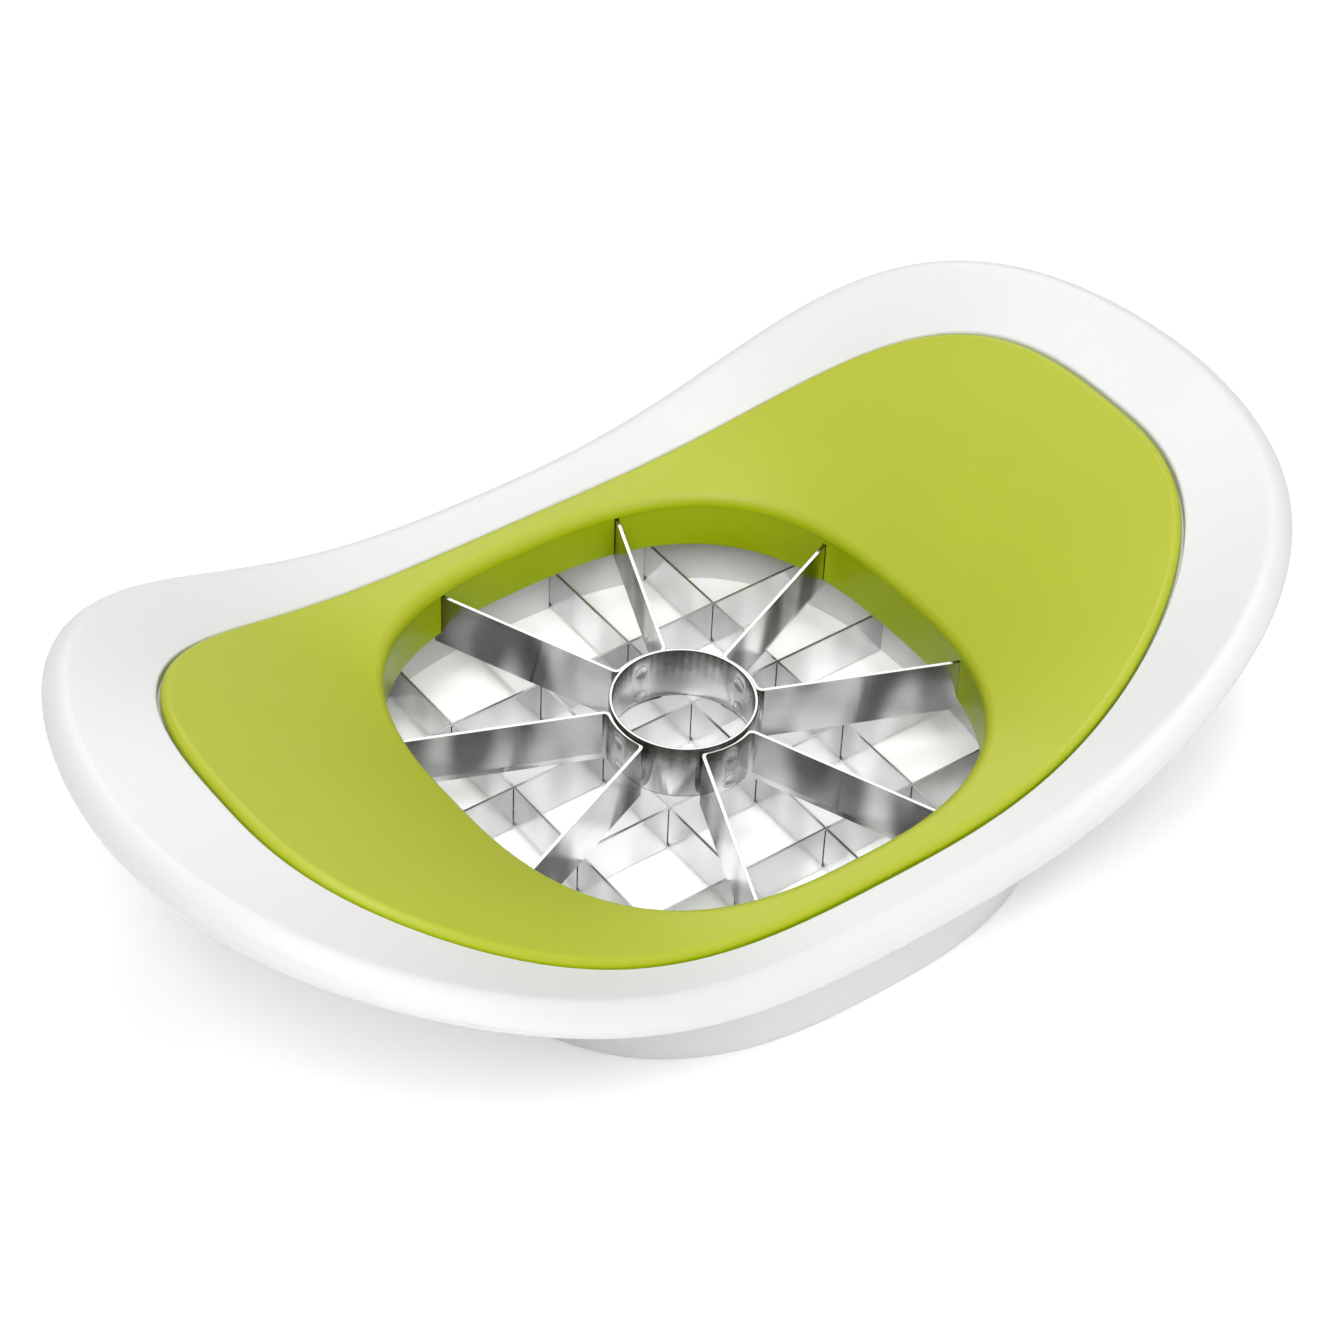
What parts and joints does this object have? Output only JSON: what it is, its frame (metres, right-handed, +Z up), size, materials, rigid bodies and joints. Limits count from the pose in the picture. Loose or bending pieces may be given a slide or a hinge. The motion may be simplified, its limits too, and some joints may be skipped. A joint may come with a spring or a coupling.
{
  "type": "apple wedger with nesting chip cutter",
  "caption": "Hand-pressed fruit wedger with radial blades and a core ring, nested in a saddle-shaped frame that carries a square grid of chip blades.",
  "frame": {"origin": "centre of the collar's foot, in the plane where the cutter stands on the board", "axes": "+X along the two raised ends, +Y across, +Z up"},
  "size_m": [0.206, 0.1206, 0.0506],
  "materials": {
    "green_soft_touch": "soft-touch moulded, fine matt grain",
    "white_plastic": "moulded, satin",
    "core_steel": "rolled strip, finely polished, spot-welded",
    "blade_steel": "rolled strip, finely polished, ground lower edge",
    "strip_steel": "rolled strip, finely polished, ground lower edge"
  },
  "bodies": {
    "chip_cutter": {"chip_frame": "white_plastic", "chip_strip_x_1": "strip_steel", "chip_strip_x_2": "strip_steel", "chip_strip_x_3": "strip_steel", "chip_strip_x_4": "strip_steel", "chip_strip_y_1": "strip_steel", "chip_strip_y_2": "strip_steel", "chip_strip_y_3": "strip_steel", "chip_strip_y_4": "strip_steel"},
    "wedger": {"wedger_frame": "green_soft_touch", "core_ring": "core_steel", "wedge_blade_1": "blade_steel", "wedge_blade_2": "blade_steel", "wedge_blade_3": "blade_steel", "wedge_blade_4": "blade_steel"}
  },
  "joints": [
    {"name": "wedger_lift", "type": "slide", "parent": "chip_cutter", "child": "wedger", "axis": [0, 0, 1], "range_m": [0, 0.06]}
  ]
}
